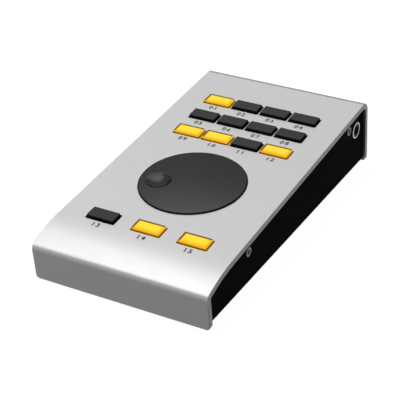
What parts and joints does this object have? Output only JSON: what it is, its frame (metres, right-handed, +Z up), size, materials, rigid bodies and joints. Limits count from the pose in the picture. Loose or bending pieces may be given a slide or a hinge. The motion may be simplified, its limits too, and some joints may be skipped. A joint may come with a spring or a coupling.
{
  "type": "studio monitor controller",
  "caption": "Desktop monitor controller: bent aluminium cover with rows of push keys and one large low dial over a black folded tray, with a jack in its side.",
  "frame": {"origin": "middle of the footprint, on the surface that the feet stand on", "axes": "+X to the user's right, +Y away from the user, +Z up; the plate with the keys is tipped 4.6 degrees towards the user"},
  "size_m": [0.106, 0.2036, 0.0432],
  "materials": {
    "cover_aluminium": "fine blasted, clear anodised, satin",
    "bare_aluminium": "extruded",
    "tray_black": "fine matte black paint",
    "foot_rubber": "matte",
    "screw_black": "blackened steel",
    "switch_black": "moulded",
    "lamp_white": "clear amber lens",
    "frame_black": "moulded, matte",
    "dial_charcoal": "dark anodised, satin",
    "well_black": "pressed, matte black",
    "zinc_steel": "zinc plated",
    "board_green": "glass-epoxy board with green resist",
    "pillar_brass": "nickel plated",
    "chip_black": "moulded",
    "can_aluminium": "drawn can",
    "socket_steel": "bright pressed sheet",
    "stem_white": "moulded",
    "ring_chrome": "bright nickel",
    "tab_brass": "tinned",
    "key_lit": "smoked translucent plastic, lit from below",
    "key_unlit": "smoked translucent plastic, unlit"
  },
  "bodies": {
    "housing": {"cover_plate": "cover_aluminium", "cover_rail_right": "bare_aluminium", "cover_rail_left": "bare_aluminium", "chassis_tray": "tray_black", "feet": "foot_rubber", "side_screws": "screw_black", "key_switches": "switch_black", "key_leds": "lamp_white", "rear_light_frame": "frame_black", "front_light_frame": "frame_black", "dial_well": "well_black", "well_screws": "zinc_steel", "encoder_body": "switch_black", "encoder_bushing": "zinc_steel", "encoder_washer": "zinc_steel", "encoder_nut": "zinc_steel", "main_board": "board_green", "board_pillars": "pillar_brass", "board_screws": "zinc_steel", "controller_chip": "chip_black", "interface_chip": "chip_black", "capacitors": "can_aluminium", "usb_shell": "socket_steel", "usb_tongue": "stem_white", "jack_body": "switch_black", "jack_ring": "ring_chrome", "jack_tabs": "tab_brass"},
    "dial": {"dial": "dial_charcoal", "encoder_shaft": "zinc_steel"},
    "key_01": {"key_cap_01": "key_lit", "key_stem_01": "stem_white"},
    "key_02": {"key_cap_02": "key_unlit", "key_stem_02": "stem_white"},
    "key_03": {"key_cap_03": "key_unlit", "key_stem_03": "stem_white"},
    "key_04": {"key_cap_04": "key_unlit", "key_stem_04": "stem_white"},
    "key_05": {"key_cap_05": "key_unlit", "key_stem_05": "stem_white"},
    "key_06": {"key_cap_06": "key_unlit", "key_stem_06": "stem_white"},
    "key_07": {"key_cap_07": "key_unlit", "key_stem_07": "stem_white"},
    "key_08": {"key_cap_08": "key_unlit", "key_stem_08": "stem_white"},
    "key_09": {"key_cap_09": "key_lit", "key_stem_09": "stem_white"},
    "key_10": {"key_cap_10": "key_lit", "key_stem_10": "stem_white"},
    "key_11": {"key_cap_11": "key_unlit", "key_stem_11": "stem_white"},
    "key_12": {"key_cap_12": "key_lit", "key_stem_12": "stem_white"},
    "key_13": {"key_cap_13": "key_unlit", "key_stem_13": "stem_white"},
    "key_14": {"key_cap_14": "key_lit", "key_stem_14": "stem_white"},
    "key_15": {"key_cap_15": "key_lit", "key_stem_15": "stem_white"}
  },
  "joints": [
    {"name": "dial_turn", "type": "hinge", "parent": "housing", "child": "dial", "pos_m": [0, -0.02229, 0.034], "axis": [0, -0.0802, 0.9968], "continuous": true},
    {"name": "key_01_press", "type": "slide", "parent": "housing", "child": "key_01", "axis": [0, 0.0802, -0.9968], "range_m": [0, 0.0007], "stiffness_N_per_m": 1500, "springref_m": -0.0003},
    {"name": "key_02_press", "type": "slide", "parent": "housing", "child": "key_02", "axis": [0, 0.0802, -0.9968], "range_m": [0, 0.0007], "stiffness_N_per_m": 1500, "springref_m": -0.0003},
    {"name": "key_03_press", "type": "slide", "parent": "housing", "child": "key_03", "axis": [0, 0.0802, -0.9968], "range_m": [0, 0.0007], "stiffness_N_per_m": 1500, "springref_m": -0.0003},
    {"name": "key_04_press", "type": "slide", "parent": "housing", "child": "key_04", "axis": [0, 0.0802, -0.9968], "range_m": [0, 0.0007], "stiffness_N_per_m": 1500, "springref_m": -0.0003},
    {"name": "key_05_press", "type": "slide", "parent": "housing", "child": "key_05", "axis": [0, 0.0802, -0.9968], "range_m": [0, 0.0007], "stiffness_N_per_m": 1500, "springref_m": -0.0003},
    {"name": "key_06_press", "type": "slide", "parent": "housing", "child": "key_06", "axis": [0, 0.0802, -0.9968], "range_m": [0, 0.0007], "stiffness_N_per_m": 1500, "springref_m": -0.0003},
    {"name": "key_07_press", "type": "slide", "parent": "housing", "child": "key_07", "axis": [0, 0.0802, -0.9968], "range_m": [0, 0.0007], "stiffness_N_per_m": 1500, "springref_m": -0.0003},
    {"name": "key_08_press", "type": "slide", "parent": "housing", "child": "key_08", "axis": [0, 0.0802, -0.9968], "range_m": [0, 0.0007], "stiffness_N_per_m": 1500, "springref_m": -0.0003},
    {"name": "key_09_press", "type": "slide", "parent": "housing", "child": "key_09", "axis": [0, 0.0802, -0.9968], "range_m": [0, 0.0007], "stiffness_N_per_m": 1500, "springref_m": -0.0003},
    {"name": "key_10_press", "type": "slide", "parent": "housing", "child": "key_10", "axis": [0, 0.0802, -0.9968], "range_m": [0, 0.0007], "stiffness_N_per_m": 1500, "springref_m": -0.0003},
    {"name": "key_11_press", "type": "slide", "parent": "housing", "child": "key_11", "axis": [0, 0.0802, -0.9968], "range_m": [0, 0.0007], "stiffness_N_per_m": 1500, "springref_m": -0.0003},
    {"name": "key_12_press", "type": "slide", "parent": "housing", "child": "key_12", "axis": [0, 0.0802, -0.9968], "range_m": [0, 0.0007], "stiffness_N_per_m": 1500, "springref_m": -0.0003},
    {"name": "key_13_press", "type": "slide", "parent": "housing", "child": "key_13", "axis": [0, 0.0802, -0.9968], "range_m": [0, 0.0007], "stiffness_N_per_m": 1500, "springref_m": -0.0003},
    {"name": "key_14_press", "type": "slide", "parent": "housing", "child": "key_14", "axis": [0, 0.0802, -0.9968], "range_m": [0, 0.0007], "stiffness_N_per_m": 1500, "springref_m": -0.0003},
    {"name": "key_15_press", "type": "slide", "parent": "housing", "child": "key_15", "axis": [0, 0.0802, -0.9968], "range_m": [0, 0.0007], "stiffness_N_per_m": 1500, "springref_m": -0.0003}
  ]
}
